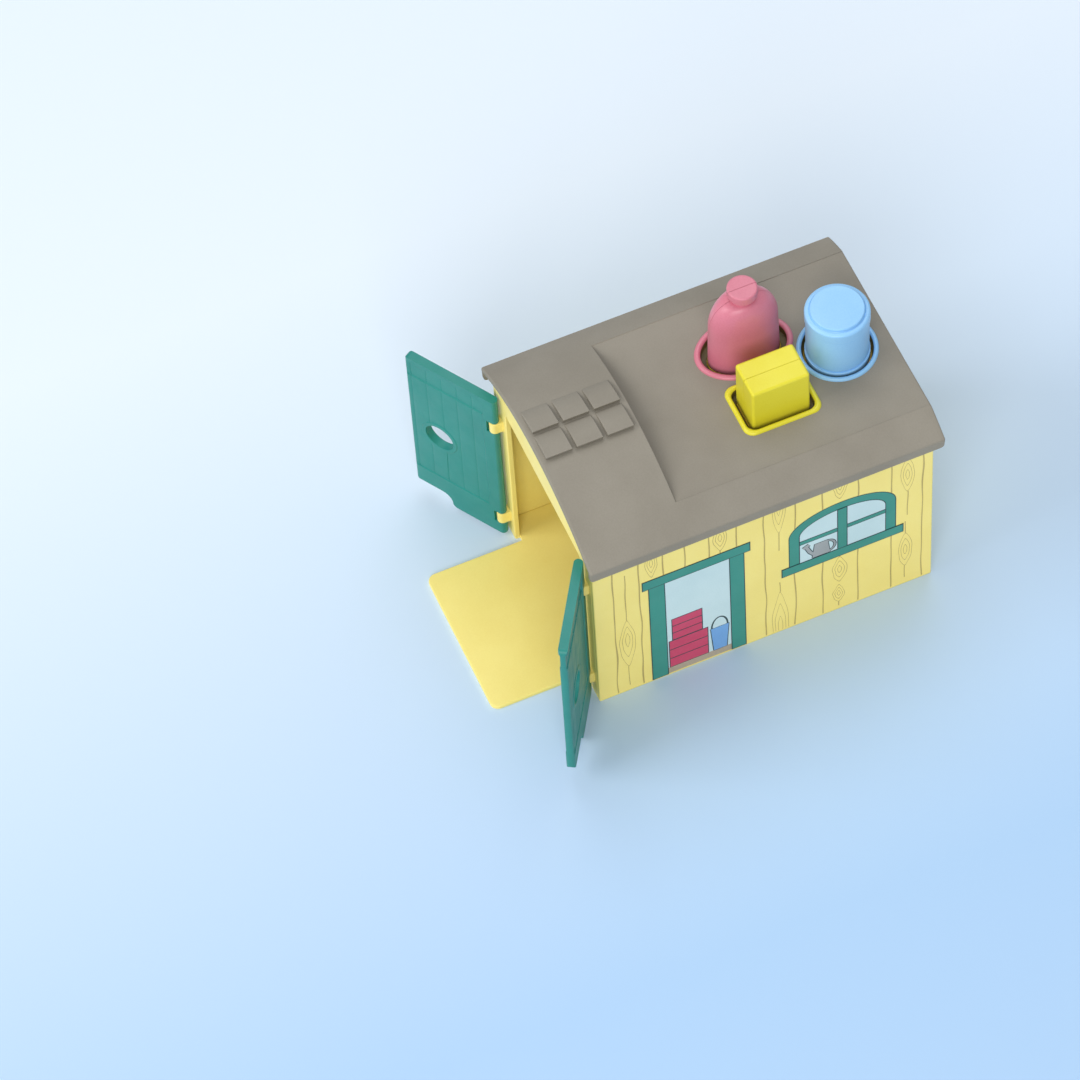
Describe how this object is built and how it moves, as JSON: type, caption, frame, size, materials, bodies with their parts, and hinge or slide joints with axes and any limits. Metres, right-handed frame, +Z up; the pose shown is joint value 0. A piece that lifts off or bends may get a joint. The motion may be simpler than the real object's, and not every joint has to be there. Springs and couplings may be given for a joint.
{
  "type": "toy barn",
  "caption": "Toy barn with an arched roof, swinging plank doors and rimmed roof openings through which a milk can, a barrel and a bale drop into the room.",
  "frame": {"origin": "on the ground, in the middle of the four walls", "axes": "+Z up, the doors face -Y, the side with the printed doorway and window is +X"},
  "size_m": [0.2266, 0.2715, 0.2127],
  "materials": {
    "body_yellow": "satin moulded plastic, pale yellow",
    "roof_taupe": "fine-grained moulded plastic, taupe",
    "door_green": "glossy moulded plastic, sea green",
    "can_pink": "glossy moulded plastic, dusky pink",
    "barrel_blue": "glossy moulded plastic, light blue",
    "bale_yellow": "glossy moulded plastic, clear yellow",
    "pin_steel": "drawn steel wire"
  },
  "bodies": {
    "barn": {"floor_plate": "body_yellow", "front_wall": "body_yellow", "rear_wall": "body_yellow", "side_wall_left": "body_yellow", "side_wall_right": "body_yellow", "roof_shell": "roof_taupe", "can_rim": "can_pink", "barrel_rim": "barrel_blue", "bale_rim": "bale_yellow"},
    "door_left": {"door_left": "door_green", "hinge_pin_left": "pin_steel"},
    "door_right": {"door_right": "door_green", "hinge_pin_right": "pin_steel"},
    "can": {"can_half_left": "can_pink", "can_half_right": "can_pink"},
    "barrel": {"barrel_body": "barrel_blue", "barrel_base": "barrel_blue", "barrel_lid": "barrel_blue"},
    "bale": {"bale_half_left": "bale_yellow", "bale_half_right": "bale_yellow"}
  },
  "joints": [
    {"name": "door_left_hinge", "type": "hinge", "parent": "barn", "child": "door_left", "pos_m": [-0.061, -0.109, 0], "axis": [0, 0, -1], "range_deg": [-148, 27]},
    {"name": "door_right_hinge", "type": "hinge", "parent": "barn", "child": "door_right", "pos_m": [0.061, -0.109, 0], "axis": [0, 0, 1], "range_deg": [-148, 27]},
    {"name": "can_drop", "type": "slide", "parent": "barn", "child": "can", "axis": [0, 0, 1], "range_m": [-0.146, 0.045]},
    {"name": "barrel_drop", "type": "slide", "parent": "barn", "child": "barrel", "axis": [0, 0, 1], "range_m": [-0.146, 0.045]},
    {"name": "bale_drop", "type": "slide", "parent": "barn", "child": "bale", "axis": [0, 0, 1], "range_m": [-0.146, 0.045]}
  ]
}
